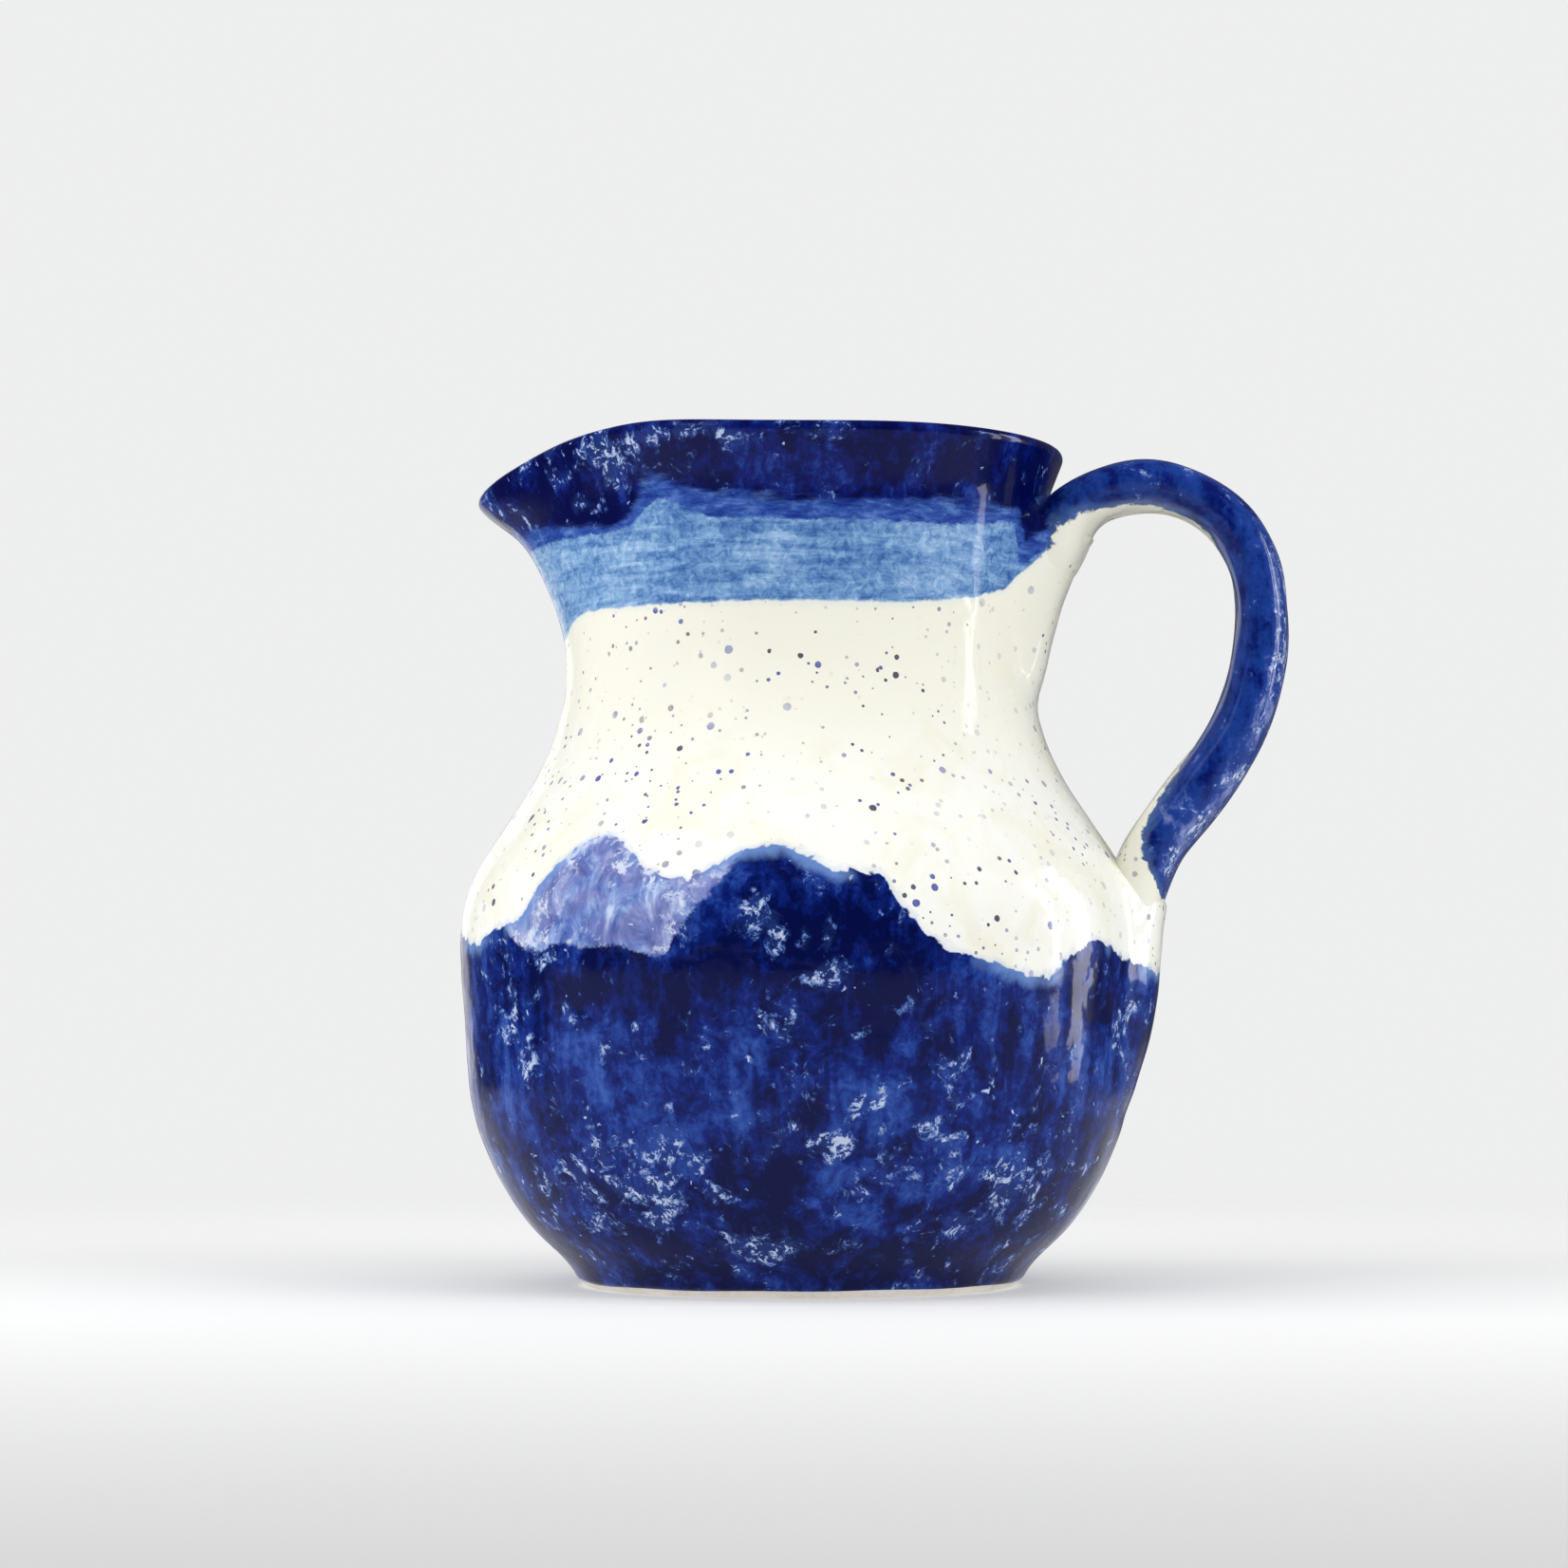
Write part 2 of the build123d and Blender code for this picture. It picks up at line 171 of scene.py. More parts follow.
# ---- how fine the meshes are --------------------------------------------------------------------
COLUMNS = 432
MOUNTAIN_ROWS, CREAM_ROWS, WASH_ROWS, RIM_ROWS, LIP_ROWS = 74, 56, 16, 20, 13
BLUE_INSIDE_ROWS, LINER_ROWS, FLOOR_ROWS = 8, 92, 41
STRAP_COLUMNS, CORE_COLUMNS, JOINT_ROWS = 60, 72, 49

# ---- the fired glaze ----------------------------------------------------------------------------
GLAZE_IOR, GLAZE_COAT, GLAZE_COAT_ROUGH, GLAZE_SPECULAR = 1.5, 0.22, 0.05, 0.04


def spline(knots, values):
    """Natural cubic through the knots, as a function of an array."""
    knots, values = np.asarray(knots, float), np.asarray(values, float)
    step, count = np.diff(knots), len(knots)
    rows, right = np.eye(count), np.zeros(count)
    for i in range(1, count - 1):
        rows[i, i - 1:i + 2] = step[i - 1], 2 * (step[i - 1] + step[i]), step[i]
        rise = 6 * (values[i + 1] - values[i]) / step[i]
        right[i] = rise - 6 * (values[i] - values[i - 1]) / step[i - 1]
    bend = np.linalg.solve(rows, right)

    def at(x):
        i = np.clip(np.searchsorted(knots, x) - 1, 0, count - 2)
        t, h = x - knots[i], step[i]
        slope = (values[i + 1] - values[i]) / h - h * (2 * bend[i] + bend[i + 1]) / 6
        return values[i] + slope * t + bend[i] * t**2 / 2 + (bend[i + 1] - bend[i]) * t**3 / (6 * h)

    return at


def columns_of(table):
    """Natural splines of a table's columns over its first one."""
    table = np.array(table, float)
    return [spline(table[:, 0], table[:, k]) for k in range(1, table.shape[1])]


def smooth(x, low, high):
    """0 under low, 1 over high, eased between."""
    t = np.clip((x - low) / (high - low), 0, 1)
    return t * t * (3 - 2 * t)


def around(points, angle):
    """A painted line's height at camera-side degrees, with its corners softened."""
    points = np.array(points, float)
    return sum(np.interp(angle + k, points[:, 0], points[:, 1], period=360) for k in (-1, 0, 1)) / 3


out_round, out_spout = columns_of(OUTSIDE)
in_round, in_spout = columns_of(INSIDE)
web_edge, = columns_of(WEB_EDGE)
tail_edge, = columns_of(TAIL_EDGE)


def from_spout(turn):
    """Degrees away from the spout, for degrees from the handle."""
    return np.abs((turn % 360) - 180)


def section(round_at, spout_at, turn, height):
    """Radius of a thrown surface at degrees from the handle and a height."""
    away = from_spout(turn)
    half = np.where(height < PINCH_MID, PINCH_MID - PINCH_LOW, PINCH_HIGH - PINCH_MID)
    depth = np.cos(np.clip((height - PINCH_MID) / half, -1, 1) * math.pi / 2)
    mark = np.exp(-(((away - PINCH_ANGLE) / PINCH_SPREAD) ** 2))
    reach = (spout_at(height) - round_at(height)) * np.exp(-((away / SPOUT_SPREAD) ** 2))
    return round_at(height) + reach - PINCH_DEPTH * depth * mark


def wobble(turn, height):
    """Throwing rings and the slight unevenness of a hand-thrown wall."""
    t = np.radians(turn)
    rings = 0.035 * np.sin(height * 0.62 + 1.3 * np.sin(t) + 0.9 * np.sin(height * 0.17))
    return rings + 0.16 * np.sin(2 * t + height * 0.05) + 0.10 * np.sin(3 * t - height * 0.07 + 1.0)


def joint_bumps(turn, height, radius):
    """How far the clay worked over the two joints stands off the thrown wall."""
    side = radius * np.sin(np.radians(turn))
    front = np.cos(np.radians(turn)) > 0
    web_wide = 10.0 + 4.6 * smooth(height, 128, 158)
    web = np.clip(web_edge(height) - radius, 0, None) * smooth(height, 121, 134)
    web = web * (1 - smooth(height, 163.5, 171)) * np.exp(-((np.abs(side) / web_wide) ** 3.4))
    pad_wide = 9.0 + 5.2 * smooth(height, 36, 74)
    pad = np.clip(tail_edge(height) - radius, 0, None) * smooth(height, 28, 44)
    pad = pad * (1 - smooth(height, 82, 93)) * np.exp(-((np.abs(side) / pad_wide) ** 3.6))
    return np.where(front, web + pad, 0.0)


def outer_radius(turn, height):
    """The glazed outside: thrown wall, worked joints and unevenness."""
    radius = section(out_round, out_spout, turn, height)
    return radius + joint_bumps(turn, height, radius) + wobble(turn, height)


def crest(turn):
    """Height of the lip."""
    away = from_spout(turn)
    shoulder = 0.8 * np.exp(-(((away - 62) / 18) ** 2)) - 0.6 * np.exp(-(((away - 98) / 24) ** 2))
    return RIM_HEIGHT - DIP * np.exp(-((away / DIP_SPREAD) ** 2)) + shoulder


# ---- one grid over the whole glazed surface, from the foot over the lip to the floor ----------
turn = np.arange(COLUMNS) * 360.0 / COLUMNS
camera_side = (turn + HANDLE_AT + 98) % 360 - 98
foot_edge = 1.3 + 0.14 * np.sin(np.radians(3 * turn)) + 0.08 * np.sin(np.radians(11 * turn + 40))
ridge, wash_low, dark_low = (around(line, camera_side) for line in (RIDGE, WASH_LOW, DARK_LOW))
near_line = np.minimum(around(NEAR_LINE, camera_side), 200)
lip_from = crest(turn) - LIP
ROLL = [0.0, 0.12, 0.3, 0.6, 1.0]  # rows that round the coat's lower edge


def between(low, high, count):
    """Heights of count rows over low, up to and including high, for every column."""
    share = np.linspace(0, 1, count + 1)[1:, None]
    return low[None, :] + (high - low)[None, :] * share


rolled = foot_edge[None, :] + np.array(ROLL)[:, None]
zones = [rolled, between(rolled[-1], ridge, MOUNTAIN_ROWS), between(ridge, wash_low, CREAM_ROWS),
         between(wash_low, dark_low, WASH_ROWS), between(dark_low, lip_from, RIM_ROWS)]
height = np.vstack(zones)
row_mountain = (0, len(ROLL) + MOUNTAIN_ROWS - 1)
row_cream = (row_mountain[1], row_mountain[1] + CREAM_ROWS)
row_wash = (row_cream[1], row_cream[1] + WASH_ROWS)
turn_grid = np.broadcast_to(turn, height.shape)
radius = outer_radius(turn_grid, height)
roll_share = np.clip(1 - (height - foot_edge) / ROLL[-1], 0, 1)
radius = radius - 0.55 * roll_share**2.5
outside = np.stack([radius, height], -1)

# The lip: half an ellipse from the outer to the inner skin, leaning as the wall does.
inner_at = section(in_round, in_spout, turn, lip_from)
outer_at = radius[-1]
middle, half = (outer_at + inner_at) / 2, (outer_at - inner_at) / 2
lip_base = section(out_round, out_spout, turn, lip_from)
lean = (lip_base - section(out_round, out_spout, turn, lip_from - 2)) / 2
lean = np.clip((lean + (inner_at - section(in_round, in_spout, turn, lip_from - 2)) / 2) / 2, -0.2, 0.5)
lip_angles = np.radians(np.linspace(0, 180, LIP_ROWS + 2)[1:-1])[:, None]
lip_r = middle + half * np.cos(lip_angles) + LIP * np.sin(lip_angles) * lean
lip_z = lip_from + LIP * np.sin(lip_angles)
lip = np.stack([lip_r, lip_z], -1)

blue_end, wall_end = np.full(COLUMNS, RIM_INSIDE), np.full(COLUMNS, INSIDE[0][0])
inside_z = np.vstack([lip_from[None, :], between(lip_from, blue_end, BLUE_INSIDE_ROWS),
                      between(blue_end, wall_end, LINER_ROWS)])
inside_r = section(in_round, in_spout, np.broadcast_to(turn, inside_z.shape), inside_z)
rings_in = 0.22 * np.sin(inside_z * 0.95 + np.radians(turn)) * smooth(inside_z, 20, 40)
inside_r = inside_r + rings_in * (1 - smooth(inside_z, 150, 168))
inside = np.stack([inside_r, inside_z], -1)
floor_r, floor_z = np.array(FLOOR, float).T
floor_way = np.concatenate([[0], np.cumsum(np.hypot(np.diff(floor_r), np.diff(floor_z)))])
floor_steps = np.linspace(floor_way[-1], 1.2, FLOOR_ROWS + 1)[1:]
cavity_floor = np.stack([spline(floor_way, side)(floor_steps) for side in (floor_r, floor_z)], -1)
floor_rings = 0.25 * np.sin(floor_steps * 0.8) * smooth(floor_steps, 2, 10)
cavity_floor[:, 1] += floor_rings * (1 - smooth(floor_steps, 48, 60))
cavity_floor = np.broadcast_to(cavity_floor[:, None, :], (len(cavity_floor), COLUMNS, 2))

profile = np.concatenate([outside, lip, inside, cavity_floor])
row_lip_end = len(outside) + len(lip)
row_rim = (row_wash[1], row_lip_end + BLUE_INSIDE_ROWS)
row_liner = (row_rim[1], len(profile) - 1)
angle = np.radians(turn)[None, :]


def swept(grid):
    """Points round the pot's axis, for a grid of radii and heights over the columns."""
    return np.stack([grid[..., 0] * np.cos(angle), grid[..., 0] * np.sin(angle), grid[..., 1]], -1)


surface = swept(profile)


def skin_normals(grid, wrap):
    """Unit normals of a grid of points, rows by columns."""
    along = np.gradient(grid, axis=0)
    across = (np.roll(grid, -1, 1) - np.roll(grid, 1, 1)) if wrap else np.gradient(grid, axis=1)
    normal = np.cross(across, along)
    return normal / np.maximum(np.linalg.norm(normal, axis=-1, keepdims=True), 1e-9)


normals = skin_normals(surface, True)


def patches(table, degrees, height):
    """Sum of soft patches painted at given degrees and heights."""
    total = np.zeros(np.broadcast(degrees, height).shape)
    for at, z, wide, tall, strength in table:
        off = (degrees - at + 180) % 360 - 180
        total += strength * np.exp(-((off / wide) ** 2) - ((height - z) / tall) ** 2)
    return total


side_grid = np.broadcast_to(camera_side, profile.shape[:2])
z_grid = profile[..., 1]
is_outside = (np.arange(len(profile)) < row_lip_end)[:, None]


def off_line(line):
    """Distance of each point over a painted line, square to it."""
    rise = (np.roll(line, -1) - np.roll(line, 1)) / (2 * math.radians(360 / COLUMNS) * 70)
    return np.clip((z_grid - line) / np.sqrt(1 + rise**2), -60, 60)


paint = {
    "over_ridge": off_line(ridge),
    "over_near": off_line(near_line),
    "over_wash": off_line(wash_low),
    "over_dark": np.where(is_outside, off_line(dark_low), (z_grid - RIM_INSIDE)),
    "flecks": np.clip(patches(FLECK_PATCHES, side_grid, z_grid)
                      + 0.16 * (1 - smooth(z_grid, 40, 60)), 0, 1.1),
    "tone": np.clip(patches(TONE_PATCHES, side_grid, z_grid), -1.0, 0.35),
}

# ---- meshes -----------------------------------------------------------------------------------


def make_piece(name, points, faces, point_normals, values, material, replaces):
    """A mesh piece in metres with its own smooth normals and painted values."""
    mesh = bpy.data.meshes.new(name)
    mesh.from_pydata((points * MM).tolist(), [], faces)
    mesh.validate()
    mesh.polygons.foreach_set("use_smooth", np.ones(len(mesh.polygons), bool))
    for key, value in values.items():
        mesh.attributes.new(key, "FLOAT", "POINT").data.foreach_set("value", value.astype(np.float32))
    mesh.update()
    if point_normals is not None:
        mesh.normals_split_custom_set_from_vertices(point_normals.tolist())
    piece = bpy.data.objects.new(name, mesh)
    bpy.context.scene.collection.objects.link(piece)
    mesh.materials.append(material)
    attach(piece, "root")
    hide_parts(replaces)


def quads(index, wrap):
    """Faces over a grid of point numbers."""
    nxt = np.roll(index, -1, 1) if wrap else index[:, 1:]
    here = index if wrap else index[:, :-1]
    faces = np.stack([here[:-1], nxt[:-1], nxt[1:], here[1:]], -1)
    return faces.reshape(-1, 4)


def fan(ring, centre, flip=False):
    """Triangles from a closed ring of point numbers to a centre point."""
    pairs = [(int(a), int(b)) for a, b in zip(ring, np.roll(ring, -1))]
    return [[b, a, centre] if flip else [a, b, centre] for a, b in pairs]


def capped(grid, low_centre, high_centre):
    """Closed skin over a grid that goes round, with a fan over each end."""
    index = np.arange(grid.shape[0] * grid.shape[1]).reshape(grid.shape[:2])
    points = np.concatenate([grid.reshape(-1, 3), [low_centre], [high_centre]])
    faces = quads(index, True).tolist()
    faces += fan(index[0], index.size, True) + fan(index[-1], index.size + 1)
    return points, faces


def shell(top, bottom, wrap, pole=False):
    """Closed skin between two grids: faces over both, and walls along their free borders."""
    rows, cols = top.shape[:2]
    upper = np.arange(rows * cols).reshape(rows, cols)
    lower = upper + rows * cols
    points = np.concatenate([top.reshape(-1, 3), bottom.reshape(-1, 3)])
    faces = [quads(upper, wrap), quads(lower, wrap)[:, ::-1]]
    faces.append(quads(np.stack([lower[0], upper[0]]), wrap))
    if not pole:
        faces.append(quads(np.stack([upper[-1], lower[-1]]), wrap))
    if not wrap:
        faces.append(quads(np.stack([upper[:, 0], lower[:, 0]]), False))
        faces.append(quads(np.stack([lower[:, -1], upper[:, -1]]), False))
    listed = np.concatenate(faces).tolist()
    if pole:
        points = np.concatenate([points, top[-1].mean(0)[None], bottom[-1].mean(0)[None]])
        listed += fan(upper[-1], len(points) - 2) + fan(lower[-1], len(points) - 1, True)
    return points, listed


def pot_coat(name, rows, material, replaces, pole=False):
    """A coat of glaze over the rows of the pot's grid."""
    low, high = rows
    top, facing = surface[low:high + 1], normals[low:high + 1]
    bottom = top - facing * COAT
    points, faces = shell(top, bottom, True, pole)
    both = np.concatenate([facing.reshape(-1, 3), -facing.reshape(-1, 3)])
    values = {key: np.tile(value[low:high + 1].ravel(), 2) for key, value in paint.items()}
    if pole:
        both = np.concatenate([both, [[0, 0, 1], [0, 0, -1]]])
        values = {key: np.append(value, [value[-1], value[-1]]) for key, value in values.items()}
    make_piece(name, points, faces, both, values, material, replaces)


# ---- materials --------------------------------------------------------------------------------


def linear(*rgb):
    """A shader colour from screen values of 0 to 255."""
    done = [c / 255 / 12.92 if c <= 10 else ((c / 255 + 0.055) / 1.055) ** 2.4 for c in rgb]
    return (*done, 1.0)


class Paint:
    """Builds one material's nodes."""

    def __init__(self, name):
        self.material = bpy.data.materials.new(name)
        self.material.use_nodes = True
        self.tree = self.material.node_tree
        self.tree.nodes.clear()
        coordinates = self.tree.nodes.new("ShaderNodeTexCoord")
        inputs = {0: coordinates.outputs["Object"], "Scale": 1 / MM}
        self.place = self.node("ShaderNodeVectorMath", "SCALE", inputs)

    def put(self, socket, value):
        """Links a socket to another one, or sets its own value."""
        if isinstance(value, bpy.types.NodeSocket):
            self.tree.links.new(value, socket)
        else:
            socket.default_value = value

    def node(self, kind, operation=None, inputs=(), output=0, **settings):
        """Adds a node and gives back one of its outputs."""
        made = self.tree.nodes.new(kind)
        if operation:
            made.operation = operation
        for key, value in settings.items():
            setattr(made, key, value)
        for key, value in dict(inputs).items():
            self.put(made.inputs[key], value)
        return made.outputs[output]

    def math(self, operation, a, b=0.0, c=0.0):
        return self.node("ShaderNodeMath", operation, {0: a, 1: b, 2: c})

    def add(self, a, b):
        return self.math("ADD", a, b)

    def times(self, a, b):
        return self.math("MULTIPLY", a, b)

    def value(self, name):
        return self.node("ShaderNodeAttribute", attribute_name=name, output="Fac")

    def step(self, x, low, high, start=0.0, end=1.0):
        """Eases from start to end while x goes from low to high."""
        return self.node(
            "ShaderNodeMapRange",
            inputs={"Value": x, "From Min": low, "From Max": high, "To Min": start, "To Max": end},
            interpolation_type="SMOOTHSTEP",
        )

    def stretched(self, x, y, z, shift=0.0):
        """The place on the pot in millimetres, scaled along each axis and moved."""
        scaled = self.node("ShaderNodeVectorMath", "MULTIPLY", {0: self.place, 1: (x, y, z)})
        return self.node("ShaderNodeVectorMath", "ADD", {0: scaled, 1: (shift, shift, shift)})

    def noise(self, size, detail=3.0, rough=0.55, warp=0.0, stretch=(1, 1, 1), shift=0.0):
        """Noise around 0.5 with its largest features about size millimetres across."""
        inputs = {"Vector": self.stretched(*stretch, shift), "Scale": 1 / size}
        inputs.update({"Detail": detail, "Roughness": rough, "Distortion": warp})
        return self.node("ShaderNodeTexNoise", inputs=inputs)

    def sway(self, reach, *noise, **settings):
        """Noise of up to half the reach either way, to move a border or a level."""
        return self.times(self.add(self.noise(*noise, **settings), -0.5), reach)

    def mix(self, share, a, b):
        made = self.tree.nodes.new("ShaderNodeMix")
        made.data_type = "RGBA"
        self.put(made.inputs[0], share)
        self.put(made.inputs[6], a)
        self.put(made.inputs[7], b)
        return made.outputs[2]

    def ramp(self, x, stops):
        made = self.tree.nodes.new("ShaderNodeValToRGB")
        elements = made.color_ramp.elements
        while len(elements) < len(stops):
            elements.new(0.5)
        for element, (at, colour) in zip(elements, stops):
            element.position, element.color = at, colour
        self.put(made.inputs[0], x)
        return made.outputs[0]

    def bump(self, rise, strength=1.0):
        inputs = {"Strength": strength, "Distance": MM, "Height": rise}
        return self.node("ShaderNodeBump", inputs=inputs)

    def show(self, shader):
        out = self.tree.nodes.new("ShaderNodeOutputMaterial")
        self.tree.links.new(shader, out.inputs[0])
        return self.material

    def finish(self, colour, rough, bump, coat):
        inputs = {"Base Color": colour, "Roughness": rough, "Normal": bump, "IOR": GLAZE_IOR}
        inputs.update({"Specular IOR Level": GLAZE_SPECULAR, "Coat Weight": coat})
        inputs.update({"Coat Roughness": GLAZE_COAT_ROUGH, "Coat IOR": GLAZE_IOR})
        if coat:
            inputs["Coat Normal"] = bump
        return self.show(self.node("ShaderNodeBsdfPrincipled", inputs=inputs))

    # ---- layers of the painting ----

    def specks(self, size, radius, share, shift, crowd):
        """Round specks of iron and cobalt: some of the cells of a Voronoi pattern hold one."""
        cells = self.tree.nodes.new("ShaderNodeTexVoronoi")
        self.put(cells.inputs["Vector"], self.stretched(1, 1, 1, shift))
        cells.inputs["Scale"].default_value = 1 / size
        drawn = self.tree.nodes.new("ShaderNodeSeparateColor")
        self.put(drawn.inputs[0], cells.outputs["Color"])
        near = self.add(cells.outputs["Distance"], self.sway(0.10, 0.8, 2))
        spot = self.math("SUBTRACT", self.times(drawn.outputs[0], radius / size), near)
        chosen = self.step(drawn.outputs[1], 1 - share, 1 - share + 0.01)
        spot = self.times(self.times(self.step(spot, -0.012, 0.022), chosen), crowd)
        return spot, drawn.outputs[2]

    def cream(self):
        """White tin-like glaze with warm clouds and scattered specks."""
        warm = self.step(self.noise(17, 4, 0.6, 0.6), 0.42, 0.68)
        grey = self.step(self.noise(6, 3, 0.6, 0.4, shift=31), 0.52, 0.75, 0.0, 0.5)
        warm = self.math("MAXIMUM", warm, self.step(self.value("over_wash"), -48, -16, 0.0, 0.8))
        colour = self.mix(warm, linear(250, 250, 243), linear(244, 242, 226))
        colour = self.mix(grey, colour, linear(243, 243, 238))
        crowd = self.step(self.noise(22, 2, 0.5, shift=77), 0.40, 0.62, 0.25, 1.0)
        for size, radius, share, shift, dark, blue in (
            (3.2, 1.0, 0.52, 11, linear(18, 22, 76), linear(46, 66, 162)),
            (2.0, 0.54, 0.60, 53, linear(32, 32, 70), linear(60, 74, 152)),
        ):
            spot, pick = self.specks(size, radius, share, shift, crowd)
            tint = self.mix(self.step(pick, 0.35, 0.6), dark, blue)
            colour = self.mix(self.times(spot, 0.9), colour, tint)
        faint, _ = self.specks(3.0, 0.55, 0.5, 91, crowd)
        return self.mix(self.times(faint, 0.16), colour, linear(150, 150, 190))

    def veins(self, patch, shift=0.0):
        """Curdled white flecks within a patch mask from 0 to about 1, and where they crowd."""
        squiggle = self.math("ABSOLUTE", self.add(self.noise(4.6, 5, 0.68, 1.0, shift=shift), -0.5))
        broken = self.step(self.noise(2.4, 3, 0.6, 0.3, shift=shift + 17), 0.46, 0.60)
        squiggle = self.times(self.step(squiggle, 0.060, 0.015), broken)
        blobs = self.step(self.noise(3.6, 6, 0.72, 0.5, shift=shift + 29), 0.53, 0.60)
        clump = self.add(self.noise(7.0, 4, 0.62, 0.6, shift=shift + 5), self.times(patch, 0.22))
        clump = self.step(clump, 0.56, 0.73)
        curd = self.times(clump, self.math("MAXIMUM", blobs, squiggle))
        dots = self.step(self.noise(2.0, 2, 0.5, 0.5, shift=shift + 9), 0.66, 0.74)
        sown = self.add(self.noise(7.0, 3, 0.6, shift=shift + 23), self.times(patch, 0.2))
        dots = self.times(dots, self.step(sown, 0.54, 0.68))
        return self.math("MAXIMUM", curd, dots), clump

    def cobalt(self, tone, patch, deep=(1, 9, 66), mid=(8, 31, 112), pale=(62, 98, 178)):
        """Cobalt that pooled dark and broke pale, with runs down the wall and flecks."""
        clouds = self.noise(13, 5, 0.62, 0.7, shift=3)
        runs = self.noise(5.5, 4, 0.6, 0.4, stretch=(1, 1, 0.22), shift=41)
        fine = self.noise(2.4, 4, 0.65, 0.8, shift=63)
        level = self.add(self.times(clouds, 0.50), self.times(runs, 0.38))
        level = self.add(level, self.times(fine, 0.27))
        level = self.add(level, self.times(tone, 0.15))
        colour = self.ramp(level, [(0.50, linear(*deep)), (0.58, linear(*mid)),
                                   (0.65, linear(32, 64, 148)), (0.76, linear(*pale))])
        white, clump = self.veins(patch)
        colour = self.mix(self.times(clump, 0.38), colour, linear(44, 74, 150))
        curds = self.ramp(white, [(0.0, linear(40, 66, 146)), (0.45, linear(84, 114, 180)),
                                  (1.0, linear(198, 211, 236))])
        return self.mix(self.step(white, 0.02, 0.40, 0.0, 0.92), colour, curds)

    def mountains(self, cream):
        """The painted mountains over the cream, with the paler far one and a feathered edge."""
        tone, patch = self.value("tone"), self.value("flecks")
        near = self.cobalt(tone, patch)
        far_noise = self.noise(6, 5, 0.65, 0.7, stretch=(1, 1, 0.5), shift=13)
        blue_far = self.ramp(far_noise, [(0.36, linear(68, 92, 166)), (0.47, linear(104, 130, 196)),
                                         (0.56, linear(146, 170, 220)), (0.66, linear(204, 218, 244))])
        violet_far = self.ramp(far_noise, [(0.36, linear(92, 98, 160)), (0.50, linear(122, 128, 186)),
                                           (0.66, linear(172, 178, 220))])
        violet = self.step(self.noise(13, 3, 0.5, 0.3, shift=33), 0.44, 0.56, 0.0, 0.8)
        far = self.mix(violet, blue_far, violet_far)
        top_streaks = self.step(self.value("over_ridge"), -9.0, -1.0, 0.15, 0.75)
        streaks, _ = self.veins(self.add(patch, top_streaks), shift=71)
        far = self.mix(self.times(streaks, 0.85), far, linear(222, 229, 246))
        nearness = self.add(self.value("over_near"), self.sway(4.2, 3.2, 4, 0.65, 0.4, shift=7))
        colour = self.mix(self.step(nearness, 0.5, -0.5), far, near)
        over = self.add(self.value("over_ridge"), self.sway(5.0, 5.0, 3, 0.55, 0.5, shift=19))
        here_and_there = self.step(self.noise(15, 2, 0.5, shift=29), 0.44, 0.58)
        fringe = self.times(self.step(over, -3.4, -0.6), here_and_there)
        colour = self.mix(self.times(fringe, 0.8), colour, linear(112, 148, 208))
        body = self.step(over, 0.22, -0.22)
        bleed = self.times(self.step(over, 1.8, 0.0), 0.30)
        stained = self.mix(bleed, cream, linear(150, 176, 226))
        return self.mix(body, stained, colour)

    def wash(self, cream):
        """The brushed light-blue band round the collar."""
        brush = self.noise(2.4, 5, 0.7, 0.5, stretch=(0.16, 0.16, 1), shift=37)
        mottle = self.noise(2.2, 4, 0.7, 0.8, shift=59)
        level = self.add(self.times(brush, 0.52), self.times(mottle, 0.48))
        level = self.add(level, self.sway(-0.25, 30, 2, 0.5, stretch=(1, 1, 0.5), shift=83))
        colour = self.ramp(level, [(0.37, linear(56, 96, 164)), (0.46, linear(92, 134, 190)),
                                   (0.55, linear(130, 170, 214)), (0.66, linear(180, 208, 238))])
        over = self.add(self.value("over_wash"), self.sway(1.6, 3.5, 4, 0.65, shift=2))
        line = self.times(self.step(over, -1.6, 0.0), 0.5)
        under = self.mix(line, cream, linear(226, 236, 230))
        return self.mix(self.step(over, -0.15, 0.5), under, colour)

    def rim(self, below):
        """The dark rim, with a paler strip brushed out along its lower edge."""
        tone, patch = self.value("tone"), self.value("flecks")
        dark = self.cobalt(self.add(tone, -0.3), patch, (2, 8, 68), (10, 26, 108), (40, 64, 156))
        over = self.value("over_dark")
        streak = self.sway(9.0, 2.6, 5, 0.7, 0.3, stretch=(0.12, 0.12, 1), shift=47)
        strip = self.add(self.add(over, streak), self.times(tone, -4.0))
        brushed = self.ramp(self.noise(1.8, 4, 0.7, 0.4, stretch=(0.35, 0.35, 1), shift=67),
                            [(0.34, linear(24, 48, 136)), (0.52, linear(52, 86, 168)),
                             (0.70, linear(98, 134, 204))])
        colour = self.mix(self.step(strip, 5.8, 2.6), dark, brushed)
        over = self.add(over, self.sway(2.6, 1.7, 4, 0.7, 0.4, stretch=(0.6, 0.6, 1), shift=97))
        return self.mix(self.step(over, -0.35, 0.45), below, colour)

    def glaze_bump(self, strength=1.0):
        """The slow waviness and faint orange peel of a fired glaze."""
        waves = self.noise(11, 2, 0.5, 0.3, shift=5)
        peel = self.noise(1.6, 2, 0.5, shift=15)
        rise = self.add(self.times(waves, 0.34), self.times(peel, 0.012))
        return self.bump(rise, strength)

    def gloss(self, low=0.16, high=0.30):
        return self.step(self.noise(9, 3, 0.6, shift=25), 0.3, 0.7, low, high)


def pot_glaze(name, layers):
    made = Paint(name)
    colour = made.cream()
    for layer in layers:
        colour = getattr(made, layer)(colour)
    return made.finish(colour, made.gloss(), made.glaze_bump(), GLAZE_COAT)


